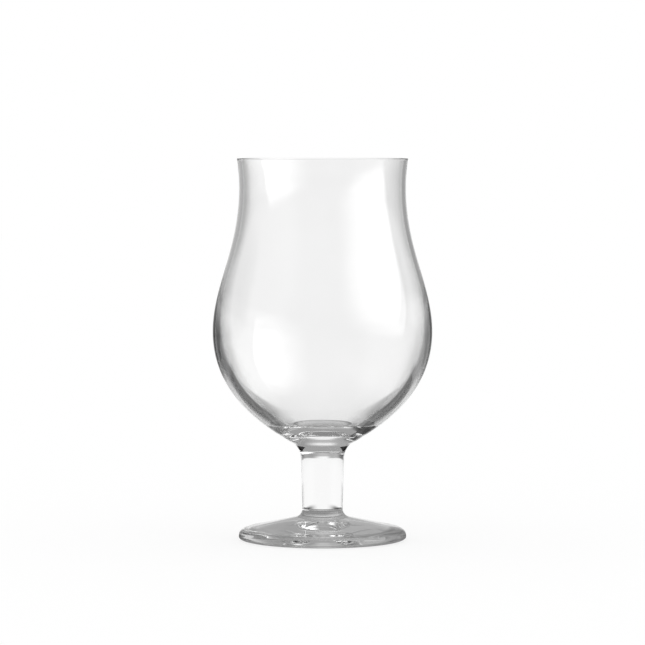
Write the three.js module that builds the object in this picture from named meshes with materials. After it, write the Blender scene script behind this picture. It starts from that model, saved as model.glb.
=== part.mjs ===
import * as THREE from 'three';

// Stemmed tulip beer glass in clear soda-lime glass: a blown bowl, a drawn stem
// and a pressed foot, fused end to end on one axis.
// Millimetres and degrees, +Z up, origin on the table under the axis.

// Foot, with heights measured up from the table
const footRadius = 33.4;
const footHeight = 12.5;
const footEdgeHeight = 1.35;
const footShoulderHeight = 4.75;
const footShoulderInset = 3.3;
const footFilletRadius = 3.6;
const contactRingInset = 3.4;
const contactRingWidth = 4;
const undersideRise = 2;

// Stem, tapering down towards the foot
const stemLength = 20.3;
const stemFootRadius = 8.05;
const stemBowlRadius = 8.67;

// Outside of the bowl, with heights measured up from its seam with the stem
const bowlHeight = 119.2;
const bowlFilletRadius = 7;
const bowlFilletSweep = 60;
const bellyRadius = 43.7;
const bellyHeight = 50.5;
const neckRadius = 33.15;
const neckDrop = 12;
const rimRadius = 34;
const rimFlare = 8.8;

// Inside of the bowl: a thin lip that thickens down to a heavy base
const rimWall = 1.5;
const neckWall = 1.57;
const bellyWall = 2.8;
const innerBellyLift = 3.9;
const cupTurnRadius = 20;
const cupTurnHeight = 16.5;
const cupTurnSlope = 35;
const floorHeight = 12.85;
const floorRadius = 10.7;
const floorCornerRadius = 6.3;
const floorCornerSlope = 21.7;

// Shares of a stretch's height that its two curve handles take, top end first
const outerFlareEase = [0.35, 0.31];
const outerShoulderEase = [0.42, 0.32];
const outerCupEase = [0.525, 0.385];
const innerFlareEase = [0.3, 0.44];
const innerShoulderEase = [0.45, 0.34];
const innerCupEase = [0.51, 0.34];
const innerHeelEase = [0.86, 0.86];
const footEdgeEase = [0.72, 0.53];
const footHeelEase = [0.75, 1.1];

// Facets round the axis, and steps along the outlines
const roundSteps = 48;
const longSteps = 11;
const shortSteps = 5;

const seamFoot = footHeight;
const seamBowl = seamFoot + stemLength;
const rimTop = seamBowl + bowlHeight;
const quarterTurn = Math.PI / 2;
const up = new THREE.Vector2(0, 1);
const down = new THREE.Vector2(0, -1);
const outward = new THREE.Vector2(1, 0);

const at = (radius, height) => new THREE.Vector2(radius, height);
const radians = THREE.MathUtils.degToRad;
const heading = (angle) => new THREE.Vector2(Math.cos(angle), Math.sin(angle));

// A straight stretch of an outline
function line(from, to) {
  return { curve: new THREE.LineCurve(from, to), steps: 1 };
}

// A round stretch about a centre, from one angle to another
function arc(centre, radius, fromAngle, toAngle, steps = shortSteps) {
  const clockwise = toAngle < fromAngle;
  const curve = new THREE.EllipseCurve(
    centre.x, centre.y, radius, radius, fromAngle, toAngle, clockwise);
  return { curve, steps };
}

// A flowing stretch whose ends leave along given headings
function flow(from, fromHeading, to, toHeading, ease, steps = longSteps) {
  const height = Math.abs(from.y - to.y);
  const curve = new THREE.CubicBezierCurve(
    from,
    from.clone().addScaledVector(fromHeading, ease[0] * height),
    to.clone().addScaledVector(toHeading, ease[1] * height),
    to);
  return { curve, steps };
}

function backwards(stretch) {
  const curve = stretch.curve.clone();
  return { curve, steps: stretch.steps, reversed: true };
}

function pointsOf(stretch) {
  const points = stretch.curve.getPoints(stretch.steps);
  return stretch.reversed ? points.reverse() : points;
}

// A solid of revolution whose outline runs from axis to axis, bottom first
function turned(name, stretches, material) {
  const outline = [];
  for (const stretch of stretches) {
    const points = pointsOf(stretch);
    outline.push(...(outline.length ? points.slice(1) : points));
  }
  const geometry = new THREE.LatheGeometry(outline, roundSteps);
  geometry.rotateX(quarterTurn);
  const mesh = new THREE.Mesh(geometry, material);
  mesh.name = name;
  return mesh;
}

function clearGlass(color, opacity) {
  return new THREE.MeshStandardMaterial({
    color, roughness: 0.03, metalness: 0, transparent: true, opacity,
  });
}

// The bowl: outside from the seam up to the rim, over the lip, and down the inside
function makeBowl() {
  const lipRadius = rimWall / 2;
  const flare = radians(rimFlare);
  const lipCentre = at(rimRadius - lipRadius, rimTop - lipRadius);
  const lipOutside = lipCentre.clone().addScaledVector(heading(-flare), lipRadius);
  const lipInside = lipCentre.clone().addScaledVector(heading(-flare), -lipRadius);
  const flareDown = heading(-quarterTurn - flare);

  const neckLevel = rimTop - neckDrop;
  const bellyLevel = seamBowl + bellyHeight;
  const neck = at(neckRadius, neckLevel);
  const belly = at(bellyRadius, bellyLevel);
  const sweep = radians(bowlFilletSweep);
  const filletCentre = at(stemBowlRadius + bowlFilletRadius, seamBowl);
  const filletTop = filletCentre.clone()
    .addScaledVector(heading(Math.PI - sweep), bowlFilletRadius);
  const filletHeading = heading(quarterTurn - sweep);

  const innerNeck = at(neckRadius - neckWall, neckLevel);
  const innerBelly = at(bellyRadius - bellyWall, bellyLevel + innerBellyLift);
  const cupTurn = at(cupTurnRadius, seamBowl + cupTurnHeight);
  const turnSlope = radians(cupTurnSlope);
  const slope = radians(floorCornerSlope);
  const floorLevel = seamBowl + floorHeight;
  const cornerCentre = at(floorRadius, floorLevel + floorCornerRadius);
  const cornerTop = cornerCentre.clone()
    .addScaledVector(heading(slope - quarterTurn), floorCornerRadius);

  const outerCup = flow(belly, down, filletTop, filletHeading, outerCupEase);
  const outerShoulder = flow(neck, down, belly, up, outerShoulderEase);
  const outerFlare = flow(lipOutside, flareDown, neck, up, outerFlareEase, shortSteps);
  return turned('bowl', [
    line(at(0, seamBowl), at(stemBowlRadius, seamBowl)),
    arc(filletCentre, bowlFilletRadius, Math.PI, Math.PI - sweep),
    backwards(outerCup),
    backwards(outerShoulder),
    backwards(outerFlare),
    arc(lipCentre, lipRadius, -flare, Math.PI - flare),
    flow(lipInside, flareDown, innerNeck, up, innerFlareEase, shortSteps),
    flow(innerNeck, down, innerBelly, up, innerShoulderEase),
    flow(innerBelly, down, cupTurn, heading(turnSlope), innerCupEase),
    flow(cupTurn, heading(turnSlope - Math.PI), cornerTop, heading(slope), innerHeelEase, shortSteps),
    arc(cornerCentre, floorCornerRadius, slope - quarterTurn, -quarterTurn),
    line(at(floorRadius, floorLevel), at(0, floorLevel)),
  ], clearGlass(0xeef0f0, 0.35));
}

// The stem: a plain tapered rod between its two seams
function makeStem() {
  const foot = at(stemFootRadius, seamFoot);
  const top = at(stemBowlRadius, seamBowl);
  return turned('stem', [
    line(at(0, seamFoot), foot),
    line(foot, top),
    line(top, at(0, seamBowl)),
  ], clearGlass(0xf4f5f5, 0.3));
}

// The foot: hollow underneath, standing on a ground ring, with a rounded edge
// and a sloping top that sweeps up to the stem
function makeFoot() {
  const contactOuter = footRadius - contactRingInset;
  const contactInner = contactOuter - contactRingWidth;
  const hollowRadius = (contactInner ** 2 + undersideRise ** 2) / (2 * undersideRise);
  const hollowCentre = at(0, undersideRise - hollowRadius);
  const hollowHalf = Math.asin(contactInner / hollowRadius);

  const heel = at(contactOuter, 0);
  const edge = at(footRadius, footEdgeHeight);
  const shoulder = at(footRadius - footShoulderInset, footShoulderHeight);
  const filletCentre = at(stemFootRadius + footFilletRadius, seamFoot);
  const toFillet = filletCentre.clone().sub(shoulder);
  const rise = Math.atan2(toFillet.y, -toFillet.x);
  const slope = rise - Math.asin(footFilletRadius / toFillet.length());
  const filletFoot = filletCentre.clone()
    .addScaledVector(heading(-quarterTurn - slope), footFilletRadius);

  const roundedEdge = flow(shoulder, heading(-slope), edge, up, footEdgeEase, shortSteps);
  const heelRound = flow(edge, down, heel, outward, footHeelEase, shortSteps);
  return turned('foot', [
    arc(hollowCentre, hollowRadius, quarterTurn, quarterTurn - hollowHalf),
    line(at(contactInner, 0), heel),
    backwards(heelRound),
    backwards(roundedEdge),
    line(shoulder, filletFoot),
    arc(filletCentre, footFilletRadius, Math.PI * 1.5 - slope, Math.PI),
    line(at(stemFootRadius, seamFoot), at(0, seamFoot)),
  ], clearGlass(0xdfe2e2, 0.45));
}

const glass = new THREE.Group();
glass.add(makeBowl(), makeStem(), makeFoot());

export default glass;
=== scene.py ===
import math

import bmesh
import bpy
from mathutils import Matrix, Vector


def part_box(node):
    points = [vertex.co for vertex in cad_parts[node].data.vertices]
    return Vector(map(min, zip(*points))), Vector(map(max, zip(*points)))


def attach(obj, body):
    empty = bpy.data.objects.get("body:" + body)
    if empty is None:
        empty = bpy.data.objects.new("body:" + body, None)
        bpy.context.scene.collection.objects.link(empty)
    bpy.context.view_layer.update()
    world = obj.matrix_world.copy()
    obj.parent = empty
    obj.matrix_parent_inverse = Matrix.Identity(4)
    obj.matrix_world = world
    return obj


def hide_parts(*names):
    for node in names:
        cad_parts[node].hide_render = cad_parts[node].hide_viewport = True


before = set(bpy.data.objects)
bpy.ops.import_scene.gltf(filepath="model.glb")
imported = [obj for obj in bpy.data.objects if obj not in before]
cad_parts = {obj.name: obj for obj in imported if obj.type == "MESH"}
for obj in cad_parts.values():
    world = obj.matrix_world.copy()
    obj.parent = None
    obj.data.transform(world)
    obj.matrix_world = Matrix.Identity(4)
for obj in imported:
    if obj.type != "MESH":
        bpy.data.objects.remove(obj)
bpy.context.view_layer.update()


# Bowl: the blown cup of clear soda-lime glass. Its outside is shaped by the mould, its inside by the breath,
# so the wall thickens from a thin fire-polished lip down to a heavy base. A fillet at the bottom runs out
# into the stem, to which it is fused hot.
scene = bpy.context.scene
MM = 0.001
bowl_low, bowl_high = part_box("bowl")
BOWL_SEAM = bowl_low.z
RIM_TOP = BOWL_SEAM + 119.2 * MM
BELLY_RADIUS = bowl_high.x
BELLY_LEVEL = BOWL_SEAM + 50.5 * MM
NECK_RADIUS = 33.15 * MM
NECK_LEVEL = RIM_TOP - 12 * MM
RIM_RADIUS = 34 * MM
RIM_FLARE = math.radians(8.8)
STEM_TOP_RADIUS = 8.67 * MM
BOWL_FILLET_RADIUS = 7 * MM
BOWL_FILLET_SWEEP = math.radians(60)
RIM_WALL = 1.5 * MM
LIP_ROUND = 0.25 * MM
NECK_WALL = 1.57 * MM
BELLY_WALL = 2.8 * MM
INNER_BELLY_LIFT = 3.9 * MM
CUP_TURN = (20 * MM, BOWL_SEAM + 16.5 * MM)
CUP_TURN_SLOPE = math.radians(35)
INNER_FLOOR_LEVEL = BOWL_SEAM + 12.85 * MM
INNER_FLOOR_RADIUS = 10.7 * MM
INNER_CORNER = 6.3 * MM
INNER_CORNER_SLOPE = math.radians(21.7)
OUTER_CUP_EASE = (0.525, 0.385)
OUTER_SHOULDER_EASE = (0.42, 0.32)
OUTER_FLARE_EASE = (0.35, 0.31)
INNER_FLARE_EASE = (0.3, 0.44)
INNER_SHOULDER_EASE = (0.45, 0.34)
INNER_CUP_EASE = (0.51, 0.34)
INNER_HEEL_EASE = (0.86, 0.86)
ROUND_STEPS = 256
LONG_STEPS = 64
FILLET_STEPS = 24
FLARE_STEPS = 16
LIP_STEPS = 10
LIP_TOP_STEPS = 3
SEAM_STEPS = 4
FLOOR_STEPS = 8
ON_AXIS = 1e-9
ON_SEAM = 1e-7
SHARP_FROM = math.radians(40)
GLASS_IOR = 1.5
CORD_DETAIL = 2.0
DULLEST_POLISH = 0.006
RIPPLE_DEPTH = 0.1 * MM
QUARTER = math.pi / 2
UP = (0, 1)
DOWN = (0, -1)
OUTWARD = (1, 0)


def heading(angle):
    return (math.cos(angle), math.sin(angle))


def moved(point, direction, distance):
    return (point[0] + direction[0] * distance, point[1] + direction[1] * distance)


def straight(start, end, steps=1):
    return [tuple(a + (b - a) * i / steps for a, b in zip(start, end)) for i in range(steps + 1)]


def arc(centre, radius, start, end, steps):
    angles = [start + (end - start) * i / steps for i in range(steps + 1)]
    return [moved(centre, heading(angle), radius) for angle in angles]


def flow(start, start_heading, end, end_heading, ease, steps):
    height = abs(start[1] - end[1])
    corners = [
        start,
        moved(start, start_heading, ease[0] * height),
        moved(end, end_heading, ease[1] * height),
        end,
    ]
    points = []
    for i in range(steps + 1):
        t = i / steps
        shares = ((1 - t) ** 3, 3 * t * (1 - t) ** 2, 3 * t ** 2 * (1 - t), t ** 3)
        points.append(tuple(sum(s * c[axis] for s, c in zip(shares, corners)) for axis in (0, 1)))
    return points


def ring_points(radius, level, steps):
    turns = [2 * math.pi * i / steps for i in range(steps)]
    return [(radius * math.cos(a), radius * math.sin(a), level) for a in turns]


def turned(name, stretches, materials, seams):
    """A closed body of revolution, outlined from axis to axis. Faces on a seam take the second material."""
    outline = []
    for stretch in stretches:
        outline += stretch[1:] if outline else stretch
    mesh = bpy.data.meshes.new(name)
    shape = bmesh.new()
    rings = []
    for radius, level in outline:
        points = [(0, 0, level)] if radius < ON_AXIS else ring_points(radius, level, ROUND_STEPS)
        rings.append([shape.verts.new(point) for point in points])
    for lower, upper in zip(rings, rings[1:]):
        for i in range(ROUND_STEPS):
            corners = [lower[i % len(lower)], lower[(i + 1) % len(lower)]]
            corners += [upper[(i + 1) % len(upper)], upper[i % len(upper)]]
            face = shape.faces.new(dict.fromkeys(corners))
            face.smooth = True
            on_seam = any(all(abs(v.co.z - level) < ON_SEAM for v in face.verts) for level in seams)
            face.material_index = 1 if on_seam else 0
    bmesh.ops.recalc_face_normals(shape, faces=shape.faces[:])
    shape.to_mesh(mesh)
    shape.free()
    mesh.set_sharp_from_angle(angle=SHARP_FROM)
    for material in materials:
        mesh.materials.append(material)
    piece = bpy.data.objects.new(name, mesh)
    scene.collection.objects.link(piece)
    return piece


def new_material(name):
    material = bpy.data.materials.new(name)
    material.use_nodes = True
    return material, material.node_tree.nodes, material.node_tree.links


def clear_glass(name, colour_and_shade, palest_colour_and_shade, ripple, ripple_scale):
    """Fire-polished glass: all but clear, with faint cords in its colour, polish and surface."""
    material, nodes, links = new_material(name)
    shader = nodes["Principled BSDF"]
    shader.inputs["Transmission Weight"].default_value = 1.0
    shader.inputs["IOR"].default_value = GLASS_IOR
    place = nodes.new("ShaderNodeTexCoord")
    cords = nodes.new("ShaderNodeTexNoise")
    cords.inputs["Scale"].default_value = ripple_scale
    cords.inputs["Detail"].default_value = CORD_DETAIL
    links.new(place.outputs["Object"], cords.inputs["Vector"])
    colour = nodes.new("ShaderNodeValToRGB")
    colour.color_ramp.elements[0].color = (*colour_and_shade, 1)
    colour.color_ramp.elements[1].color = (*palest_colour_and_shade, 1)
    links.new(cords.outputs["Fac"], colour.inputs["Fac"])
    links.new(colour.outputs["Color"], shader.inputs["Base Color"])
    polish = nodes.new("ShaderNodeMapRange")
    polish.inputs["To Min"].default_value = 0.0
    polish.inputs["To Max"].default_value = DULLEST_POLISH
    links.new(cords.outputs["Fac"], polish.inputs["Value"])
    links.new(polish.outputs["Result"], shader.inputs["Roughness"])
    surface = nodes.new("ShaderNodeBump")
    surface.inputs["Strength"].default_value = ripple
    surface.inputs["Distance"].default_value = RIPPLE_DEPTH
    links.new(cords.outputs["Fac"], surface.inputs["Height"])
    links.new(surface.outputs["Normal"], shader.inputs["Normal"])
    return material


def fused_seam():
    """The hot joint between two pieces, where the glass runs on without a surface."""
    material, nodes, links = new_material("fused_seam")
    nodes.remove(nodes["Principled BSDF"])
    clear = nodes.new("ShaderNodeBsdfTransparent")
    links.new(clear.outputs["BSDF"], nodes["Material Output"].inputs["Surface"])
    return material


seam_glass = fused_seam()
bowl_glass = clear_glass(
    "bowl_glass", colour_and_shade=(0.97, 0.97, 0.97), palest_colour_and_shade=(1, 1, 1), ripple=0.1, ripple_scale=30)

lip_outer_centre = (RIM_RADIUS - LIP_ROUND, RIM_TOP - LIP_ROUND)
lip_inner_centre = (RIM_RADIUS - RIM_WALL + LIP_ROUND, RIM_TOP - LIP_ROUND)
lip_outside = moved(lip_outer_centre, heading(-RIM_FLARE), LIP_ROUND)
lip_inside = moved(lip_inner_centre, heading(-RIM_FLARE), -LIP_ROUND)
flare_down = heading(-QUARTER - RIM_FLARE)
neck = (NECK_RADIUS, NECK_LEVEL)
belly = (BELLY_RADIUS, BELLY_LEVEL)
bowl_fillet_centre = (STEM_TOP_RADIUS + BOWL_FILLET_RADIUS, BOWL_SEAM)
bowl_fillet_top = moved(bowl_fillet_centre, heading(math.pi - BOWL_FILLET_SWEEP), BOWL_FILLET_RADIUS)
inner_neck = (NECK_RADIUS - NECK_WALL, NECK_LEVEL)
inner_belly = (BELLY_RADIUS - BELLY_WALL, BELLY_LEVEL + INNER_BELLY_LIFT)
corner_centre = (INNER_FLOOR_RADIUS, INNER_FLOOR_LEVEL + INNER_CORNER)
corner_top = moved(corner_centre, heading(INNER_CORNER_SLOPE - QUARTER), INNER_CORNER)

outer_cup = flow(
    belly, DOWN, bowl_fillet_top, heading(QUARTER - BOWL_FILLET_SWEEP), OUTER_CUP_EASE, LONG_STEPS)
outer_shoulder = flow(neck, DOWN, belly, UP, OUTER_SHOULDER_EASE, LONG_STEPS)
outer_flare = flow(lip_outside, flare_down, neck, UP, OUTER_FLARE_EASE, FLARE_STEPS)
inner_heel = flow(
    CUP_TURN, heading(CUP_TURN_SLOPE - math.pi),
    corner_top, heading(INNER_CORNER_SLOPE), INNER_HEEL_EASE, FILLET_STEPS)
bowl = turned("bowl_blown", [
    straight((0, BOWL_SEAM), (STEM_TOP_RADIUS, BOWL_SEAM), SEAM_STEPS),
    arc(bowl_fillet_centre, BOWL_FILLET_RADIUS, math.pi, math.pi - BOWL_FILLET_SWEEP, FILLET_STEPS),
    outer_cup[::-1],
    outer_shoulder[::-1],
    outer_flare[::-1],
    arc(lip_outer_centre, LIP_ROUND, -RIM_FLARE, QUARTER, LIP_STEPS),
    straight((lip_outer_centre[0], RIM_TOP), (lip_inner_centre[0], RIM_TOP), LIP_TOP_STEPS),
    arc(lip_inner_centre, LIP_ROUND, QUARTER, math.pi - RIM_FLARE, LIP_STEPS),
    flow(lip_inside, flare_down, inner_neck, UP, INNER_FLARE_EASE, FLARE_STEPS),
    flow(inner_neck, DOWN, inner_belly, UP, INNER_SHOULDER_EASE, LONG_STEPS),
    flow(inner_belly, DOWN, CUP_TURN, heading(CUP_TURN_SLOPE), INNER_CUP_EASE, LONG_STEPS),
    inner_heel,
    arc(corner_centre, INNER_CORNER, INNER_CORNER_SLOPE - QUARTER, -QUARTER, FLARE_STEPS),
    straight((INNER_FLOOR_RADIUS, INNER_FLOOR_LEVEL), (0, INNER_FLOOR_LEVEL), FLOOR_STEPS),
], [bowl_glass, seam_glass], [BOWL_SEAM])
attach(bowl, "root")
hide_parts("bowl")


# Stem: a solid rod of the same glass, drawn out hot, a little thinner towards the foot. Both of its ends are
# fused, so they show no surface.
stem_low, stem_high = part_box("stem")
STEM_FOOT_RADIUS = 8.05 * MM
STEM_STEPS = 12
stem_glass = clear_glass(
    "stem_glass", colour_and_shade=(0.98, 0.98, 0.98), palest_colour_and_shade=(1, 1, 1), ripple=0.1, ripple_scale=40)
stem = turned("stem_drawn", [
    straight((0, stem_low.z), (STEM_FOOT_RADIUS, stem_low.z), SEAM_STEPS),
    straight((STEM_FOOT_RADIUS, stem_low.z), (STEM_TOP_RADIUS, stem_high.z), STEM_STEPS),
    straight((STEM_TOP_RADIUS, stem_high.z), (0, stem_high.z), SEAM_STEPS),
], [stem_glass, seam_glass], [stem_low.z, stem_high.z])
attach(stem, "root")
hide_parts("stem")


# Foot: a disc of the same glass, pressed from a gob on the end of the stem. It slopes up to the stem in a
# small fillet, has a rounded edge with the faint ripple of pressing, and stands on a ring round a hollow.
foot_low, foot_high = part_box("foot")
FOOT_RADIUS = foot_high.x
FOOT_SEAM = foot_high.z
FOOT_EDGE_LEVEL = 1.35 * MM
FOOT_SHOULDER_LEVEL = 4.75 * MM
FOOT_SHOULDER_INSET = 3.3 * MM
FOOT_FILLET_RADIUS = 3.6 * MM
RING_INSET = 3.4 * MM
RING_WIDTH = 4 * MM
UNDERSIDE_RISE = 2 * MM
FOOT_HEEL_EASE = (0.75, 1.1)
FOOT_EDGE_EASE = (0.72, 0.53)
HOLLOW_STEPS = 40
HEEL_STEPS = 20
# The foot's glass is tinted darker than the bowl's and the stem's: that extra darkness is painted shade,
# which greys the foot.
foot_glass = clear_glass(
    "foot_glass", colour_and_shade=(0.93, 0.93, 0.93), palest_colour_and_shade=(0.98, 0.98, 0.98), ripple=0.3, ripple_scale=60)

ring_outside = FOOT_RADIUS - RING_INSET
ring_inside = ring_outside - RING_WIDTH
hollow_radius = (ring_inside ** 2 + UNDERSIDE_RISE ** 2) / (2 * UNDERSIDE_RISE)
hollow_half = math.asin(ring_inside / hollow_radius)
heel = (ring_outside, foot_low.z)
edge = (FOOT_RADIUS, FOOT_EDGE_LEVEL)
shoulder = (FOOT_RADIUS - FOOT_SHOULDER_INSET, FOOT_SHOULDER_LEVEL)
foot_fillet_centre = (STEM_FOOT_RADIUS + FOOT_FILLET_RADIUS, FOOT_SEAM)
reach = shoulder[0] - foot_fillet_centre[0]
rise = foot_fillet_centre[1] - shoulder[1]
slope = math.atan2(rise, reach) - math.asin(FOOT_FILLET_RADIUS / math.hypot(reach, rise))
fillet_foot = moved(foot_fillet_centre, heading(-QUARTER - slope), FOOT_FILLET_RADIUS)
foot = turned("foot_pressed", [
    arc((0, UNDERSIDE_RISE - hollow_radius), hollow_radius, QUARTER, QUARTER - hollow_half, HOLLOW_STEPS),
    straight((ring_inside, foot_low.z), heel, SEAM_STEPS),
    flow(edge, DOWN, heel, OUTWARD, FOOT_HEEL_EASE, HEEL_STEPS)[::-1],
    flow(shoulder, heading(-slope), edge, UP, FOOT_EDGE_EASE, FILLET_STEPS)[::-1],
    straight(shoulder, fillet_foot, FILLET_STEPS),
    arc(foot_fillet_centre, FOOT_FILLET_RADIUS, math.pi * 1.5 - slope, math.pi, FILLET_STEPS),
    straight((STEM_FOOT_RADIUS, FOOT_SEAM), (0, FOOT_SEAM), SEAM_STEPS),
], [foot_glass, seam_glass], [FOOT_SEAM])
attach(foot, "root")
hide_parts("foot")


# Floor: a plain pale table top, white to the eye and in the glass. A share of it is plain matt paper, lit by
# the white room, so that it keeps a faint shadow under and round the glass.
FLOOR_HALF = 4.0
FLOOR_GAP = 0.05 * MM
SHADOW_SHARE = 0.2


def stage_card(name, corners, faces, material):
    mesh = bpy.data.meshes.new(name)
    mesh.from_pydata(corners, [], faces)
    mesh.materials.append(material)
    card = bpy.data.objects.new(name, mesh)
    scene.collection.objects.link(card)
    return card


def feed(links, sockets, values):
    """Sets each socket to its number, or links it to the node output given instead."""
    for socket, value in zip(sockets, values):
        if isinstance(value, (int, float)):
            socket.default_value = value
        else:
            links.new(value, socket)


def joined(nodes, links, kind, *values):
    node = nodes.new("ShaderNodeMath")
    node.operation = kind
    feed(links, node.inputs, values)
    return node.outputs["Value"]


floor_white, nodes, links = new_material("floor_white")
paper = nodes["Principled BSDF"]
paper.inputs["Base Color"].default_value = (1, 1, 1, 1)
paper.inputs["Roughness"].default_value = 1.0
paper.inputs["Specular IOR Level"].default_value = 0.0
glow = nodes.new("ShaderNodeEmission")
path = nodes.new("ShaderNodeLightPath")
in_glass = joined(nodes, links, "MAXIMUM", path.outputs["Is Glossy Ray"], path.outputs["Is Transmission Ray"])
seen = joined(nodes, links, "MAXIMUM", path.outputs["Is Camera Ray"], in_glass)
blend = nodes.new("ShaderNodeMixShader")
links.new(joined(nodes, links, "MULTIPLY", seen, 1 - SHADOW_SHARE), blend.inputs["Fac"])
links.new(paper.outputs["BSDF"], blend.inputs[1])
links.new(glow.outputs["Emission"], blend.inputs[2])
links.new(blend.outputs["Shader"], nodes["Material Output"].inputs["Surface"])
stage_card("floor", [
    (-FLOOR_HALF, -FLOOR_HALF, -FLOOR_GAP),
    (FLOOR_HALF, -FLOOR_HALF, -FLOOR_GAP),
    (FLOOR_HALF, FLOOR_HALF, -FLOOR_GAP),
    (-FLOOR_HALF, FLOOR_HALF, -FLOOR_GAP),
], [(0, 1, 2, 3)], floor_white)


# Room: plain white in every direction, as the photograph's background is. It lights the floor evenly, and
# the screens that follow stand between it and the glass.
world = bpy.data.worlds.new("white_room")
scene.world = world
world.use_nodes = True
world.node_tree.nodes["Background"].inputs["Color"].default_value = (1, 1, 1, 1)
world.node_tree.nodes["Background"].inputs["Strength"].default_value = 1.0


# Tent: a dome of cloth screens round the glass, out of the camera's sight, which draws its edges. Straight
# behind the glass a white strip stands open. It fades to grey at both sides, and further round the cloth is
# dark over a light skirt.
TENT_RADIUS = 1.25
TENT_TURNS = 96
BOW_STEP = 6
BOWS = 15
TOP_BOW = 89
LEFT_TO_RIGHT = (-0.05, 0.05)
STRIP_LEFT = (math.radians(5), math.radians(17))
STRIP_RIGHT = (math.radians(0.7), math.radians(21))
STRIP_TOP = (math.radians(5.6), math.radians(8))
STRIP_GREY = 0.54
SIDE_TURN = (math.radians(27.5), math.radians(54))
FRONT_TURN = (math.radians(120), math.radians(150))
TENT_LEFT_NEAR = 0.44
TENT_LEFT = 0.26
TENT_RIGHT_NEAR = 0.33
TENT_RIGHT = 0.75
FAR_TURN = (math.radians(69), math.radians(99))
TENT_FAR = 0.15
SKIRT_WHITE = 1.0
SKIRT_TOP = (math.radians(3), math.radians(8.7))
TENT_FRONT = 0.34
TENT_TOP = 0.36
TOP_TURN = (math.radians(42), math.radians(43))


def fade(nodes, links, source, span, low, high):
    step = nodes.new("ShaderNodeMapRange")
    step.interpolation_type = "SMOOTHSTEP"
    step.inputs["From Min"].default_value = span[0]
    step.inputs["From Max"].default_value = span[1]
    step.inputs["To Min"].default_value = low
    step.inputs["To Max"].default_value = high
    links.new(source, step.inputs["Value"])
    return step.outputs["Result"]


def window(nodes, links, source, rising, falling):
    """One where the source lies between two fades, nothing outside them."""
    ends = (fade(nodes, links, source, rising, 0.0, 1.0), fade(nodes, links, source, falling, 1.0, 0.0))
    return joined(nodes, links, "MULTIPLY", *ends)


def between(nodes, links, share, low, high):
    node = nodes.new("ShaderNodeMix")
    node.data_type = "FLOAT"
    feed(links, (node.inputs[0], node.inputs[2], node.inputs[3]), (share, low, high))
    return node.outputs[0]


def card_light(name):
    material, nodes, links = new_material(name)
    nodes.remove(nodes["Principled BSDF"])
    light = nodes.new("ShaderNodeEmission")
    links.new(light.outputs["Emission"], nodes["Material Output"].inputs["Surface"])
    return material, nodes, links, light


def card_place(nodes, links):
    place = nodes.new("ShaderNodeTexCoord")
    split = nodes.new("ShaderNodeSeparateXYZ")
    links.new(place.outputs["Object"], split.inputs["Vector"])
    return split.outputs["X"], split.outputs["Y"], split.outputs["Z"]


def turn_from_behind(nodes, links, x, y):
    """The turn round the glass's axis, away from straight behind it and positive to the right."""
    return joined(nodes, links, "ARCTAN2", x, y)


def reach_from_axis(nodes, links, x, y):
    squares = [joined(nodes, links, "MULTIPLY", value, value) for value in (x, y)]
    return joined(nodes, links, "SQRT", joined(nodes, links, "ADD", *squares))


def screen_greys(nodes, links, turn, strip, far_cloth):
    """How light the screens are, all round the glass."""
    side = joined(nodes, links, "ABSOLUTE", turn)
    far = fade(nodes, links, side, SIDE_TURN, 0.0, 1.0)
    left = between(nodes, links, far, TENT_LEFT_NEAR, TENT_LEFT)
    right = between(nodes, links, far, TENT_RIGHT_NEAR, TENT_RIGHT)
    cloth = between(nodes, links, fade(nodes, links, turn, LEFT_TO_RIGHT, 0.0, 1.0), left, right)
    cloth = between(nodes, links, fade(nodes, links, side, FAR_TURN, 0.0, 1.0), cloth, far_cloth)
    cloth = between(nodes, links, fade(nodes, links, side, FRONT_TURN, 0.0, 1.0), cloth, TENT_FRONT)
    opening = window(nodes, links, turn, (-STRIP_LEFT[1], -STRIP_LEFT[0]), STRIP_RIGHT)
    return between(nodes, links, opening, cloth, strip)


def only_in_glass(card):
    card.visible_camera = False
    card.visible_diffuse = False
    card.visible_shadow = False
    return card


def disc_rings(radii, levels, steps):
    corners = []
    for radius, level in zip(radii, levels):
        corners += ring_points(radius, level, steps)
    faces = []
    for ring in range(len(radii) - 1):
        for i in range(steps):
            j = (i + 1) % steps
            faces.append((ring * steps + i, ring * steps + j, (ring + 1) * steps + j, (ring + 1) * steps + i))
    return corners, faces


tent_cloth, nodes, links, light = card_light("tent_cloth")
x, y, z = card_place(nodes, links)
turn = turn_from_behind(nodes, links, x, y)
height = joined(nodes, links, "ARCTAN2", z, reach_from_axis(nodes, links, x, y))
cloth = screen_greys(nodes, links, turn, fade(nodes, links, height, STRIP_TOP, 1.0, STRIP_GREY),
                     fade(nodes, links, height, SKIRT_TOP, SKIRT_WHITE, TENT_FAR))
cloth = between(nodes, links, fade(nodes, links, height, TOP_TURN, 0.0, 1.0), cloth, TENT_TOP)
links.new(cloth, light.inputs["Strength"])
bows = [math.radians(BOW_STEP * i) for i in range(BOWS)] + [math.radians(TOP_BOW)]
corners, faces = disc_rings(
    [TENT_RADIUS * math.cos(a) for a in bows], [TENT_RADIUS * math.sin(a) for a in bows], TENT_TURNS)
only_in_glass(stage_card("tent", corners, faces, tent_cloth))
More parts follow.
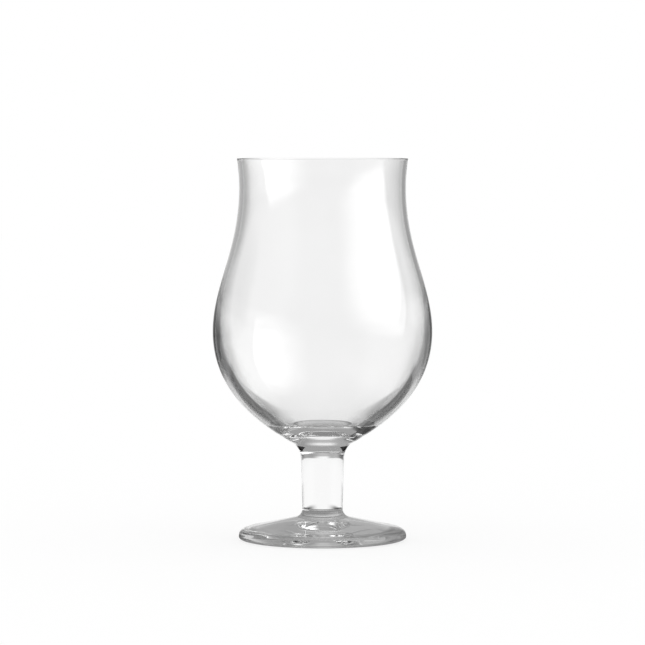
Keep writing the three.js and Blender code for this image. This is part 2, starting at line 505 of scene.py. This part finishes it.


# Mat: what the glass sees of the table near it, out of the camera's sight: a grey round under the foot, which
# is painted shade standing for the glass's own shadow on the table, and behind it two black cards to the left
# and right with a dark ring across them, which give bowl and base their dark sides.
MAT_PAINTED_SHADE_EDGE = (34 * MM, 92 * MM)
MAT_PAINTED_SHADE_GREY = 0.25
MAT_CARD_INNER = (math.radians(6.6), math.radians(30))
MAT_CARD_OUTER = (math.radians(48.7), math.radians(62.8))
MAT_CARD_NEAR = (28 * MM, 87 * MM)
MAT_CARD_FAR = (174 * MM, 204 * MM)
MAT_CARD_BLACK = 0.04
MAT_RING_INNER = (55 * MM, 65 * MM)
MAT_RING_OUTER = (67 * MM, 77 * MM)
MAT_RING_BLACK = 0.12
TABLE_FRONT = 0.45
TABLE_FAR = (450 * MM, TENT_RADIUS)
MAT_LEVEL = -0.02 * MM
MAT_RINGS = (1 * MM, 30 * MM, 60 * MM, 120 * MM, 240 * MM, 480 * MM, TENT_RADIUS)
mat_cards_and_painted_shade, nodes, links, light = card_light("mat_cards_and_painted_shade")
x, y, _ = card_place(nodes, links)
turn = turn_from_behind(nodes, links, x, y)
reach_out = reach_from_axis(nodes, links, x, y)
side = joined(nodes, links, "ABSOLUTE", turn)
table = fade(nodes, links, side, FRONT_TURN, 1.0, TABLE_FRONT)
table = between(nodes, links, fade(nodes, links, reach_out, TABLE_FAR, 0.0, 1.0), table,
                screen_greys(nodes, links, turn, 1.0, SKIRT_WHITE))
# The grey round under the foot is painted shade: the glass's own shadow on the table, as the glass sees it.
table = between(nodes, links, fade(nodes, links, reach_out, MAT_PAINTED_SHADE_EDGE, 0.0, 1.0), MAT_PAINTED_SHADE_GREY, table)
cards = joined(nodes, links, "MULTIPLY", window(nodes, links, side, MAT_CARD_INNER, MAT_CARD_OUTER),
               window(nodes, links, reach_out, MAT_CARD_NEAR, MAT_CARD_FAR))
table = between(nodes, links, cards, table, MAT_CARD_BLACK)
ring = joined(nodes, links, "MULTIPLY", fade(nodes, links, side, MAT_CARD_OUTER, 1.0, 0.0),
              window(nodes, links, reach_out, MAT_RING_INNER, MAT_RING_OUTER))
links.new(between(nodes, links, ring, table, MAT_RING_BLACK), light.inputs["Strength"])
corners, faces = disc_rings(MAT_RINGS, [MAT_LEVEL] * len(MAT_RINGS), TENT_TURNS)
only_in_glass(stage_card("mat", corners, faces, mat_cards_and_painted_shade))


# Flags: two soft-edged black cards that stand curved behind the glass to the left and right, raised from the
# table so that the stem looks out white under them. They darken the rounded edges of the belly.
FLAG_RADIUS = 105 * MM
FLAG_FOOT = (26.7 * MM, 27.4 * MM)
FLAG_HEAD = (52 * MM, 110 * MM)
FLAG_INNER = (math.radians(24.8), math.radians(46.8))
FLAG_OUTER = (math.radians(53.3), math.radians(72))
FLAG_LEFT = 0.03
FLAG_RIGHT = 0.19
FLAG_STEPS = 24


def see_through(nodes, links, light, cover):
    """Turns a card's light into a soft-edged cover over whatever lies behind it."""
    clear = nodes.new("ShaderNodeBsdfTransparent")
    either = nodes.new("ShaderNodeMixShader")
    links.new(cover, either.inputs["Fac"])
    links.new(clear.outputs["BSDF"], either.inputs[1])
    links.new(light.outputs["Emission"], either.inputs[2])
    links.new(either.outputs["Shader"], nodes["Material Output"].inputs["Surface"])


flag_felt, nodes, links, light = card_light("flag_felt")
x, y, z = card_place(nodes, links)
turn = turn_from_behind(nodes, links, x, y)
side = joined(nodes, links, "ABSOLUTE", turn)
links.new(fade(nodes, links, turn, LEFT_TO_RIGHT, FLAG_LEFT, FLAG_RIGHT), light.inputs["Strength"])
cover = joined(nodes, links, "MULTIPLY", window(nodes, links, side, FLAG_INNER, FLAG_OUTER),
               window(nodes, links, z, FLAG_FOOT, FLAG_HEAD))
see_through(nodes, links, light, cover)
corners = []
faces = []
for hand in (-1, 1):
    for i in range(FLAG_STEPS + 1):
        a = hand * (FLAG_INNER[0] + (FLAG_OUTER[1] - FLAG_INNER[0]) * i / FLAG_STEPS)
        for level in (FLAG_FOOT[0], FLAG_HEAD[1]):
            corners.append((FLAG_RADIUS * math.sin(a), FLAG_RADIUS * math.cos(a), level))
        if i:
            n = len(corners)
            faces.append((n - 4, n - 2, n - 1, n - 3))
only_in_glass(stage_card("flags", corners, faces, flag_felt))


# Softbox: one large soft light at the front right, rolled a little and fading towards the camera. The bowl's
# outside mirrors it as the long bright patch at the right, and inner reflections repeat it at the left. It
# shows only where the glass mirrors it, not straight through the glass.
SOFTBOX_CORNER = (446 * MM, -11 * MM, 63 * MM)
SOFTBOX_TURN = math.radians(122)
SOFTBOX_ROLL = math.radians(9.2)
SOFTBOX_SLANT = 0.57
SOFTBOX_NEAR = (-14 * MM, 14 * MM)
SOFTBOX_FAR = (128 * MM, 604 * MM)
SOFTBOX_FOOT = (-40 * MM, 40 * MM)
SOFTBOX_HEAD = (218 * MM, 1378 * MM)
SOFTBOX_LEVEL = 2.2
SOFTBOX_BACK = SOFTBOX_NEAR[0] - SOFTBOX_SLANT * SOFTBOX_HEAD[1]
softbox_cloth, nodes, links, light = card_light("softbox_cloth")
x, _, z = card_place(nodes, links)
near = joined(nodes, links, "ADD", x, joined(nodes, links, "MULTIPLY", z, SOFTBOX_SLANT))
lit = joined(nodes, links, "MULTIPLY", fade(nodes, links, near, SOFTBOX_NEAR, 0.0, SOFTBOX_LEVEL),
             fade(nodes, links, x, SOFTBOX_FAR, 1.0, 0.0))
lit = joined(nodes, links, "MULTIPLY", lit, window(nodes, links, z, SOFTBOX_FOOT, SOFTBOX_HEAD))
path = nodes.new("ShaderNodeLightPath")
mirrored = joined(nodes, links, "MINIMUM", path.outputs["Glossy Depth"], 1.0)
links.new(joined(nodes, links, "MULTIPLY", lit, mirrored), light.inputs["Strength"])
clear = nodes.new("ShaderNodeBsdfTransparent")
either = nodes.new("ShaderNodeAddShader")
links.new(light.outputs["Emission"], either.inputs[0])
links.new(clear.outputs["BSDF"], either.inputs[1])
links.new(either.outputs["Shader"], nodes["Material Output"].inputs["Surface"])
softbox = only_in_glass(stage_card("softbox", [
    (SOFTBOX_BACK, 0, SOFTBOX_FOOT[0]),
    (SOFTBOX_FAR[1], 0, SOFTBOX_FOOT[0]),
    (SOFTBOX_FAR[1], 0, SOFTBOX_HEAD[1]),
    (SOFTBOX_BACK, 0, SOFTBOX_HEAD[1]),
], [(0, 1, 2, 3)], softbox_cloth))
softbox.location = SOFTBOX_CORNER
softbox.rotation_euler = (0, -SOFTBOX_ROLL, -SOFTBOX_TURN)


# Camera: a long lens a little above the rim, tilted down about three degrees, as the photograph was taken.
# The bounces are many, because light crosses the thick base many times.
CAMERA_LENS = 196.6
CAMERA_SENSOR = 36
CAMERA_PLACE = (0, -1.4, 0.163)
CAMERA_TILT = math.radians(3.118)
GLASS_BOUNCES = 32
MIRROR_BOUNCES = 16
camera_data = bpy.data.cameras.new("camera")
camera_data.sensor_width = CAMERA_SENSOR
camera_data.lens = CAMERA_LENS
camera = bpy.data.objects.new("camera", camera_data)
camera.location = CAMERA_PLACE
camera.rotation_euler = (QUARTER - CAMERA_TILT, 0, 0)
scene.collection.objects.link(camera)
scene.camera = camera

scene.cycles.max_bounces = GLASS_BOUNCES
scene.cycles.transmission_bounces = GLASS_BOUNCES
scene.cycles.glossy_bounces = MIRROR_BOUNCES
scene.cycles.transparent_max_bounces = MIRROR_BOUNCES
scene.view_settings.view_transform = "Standard"
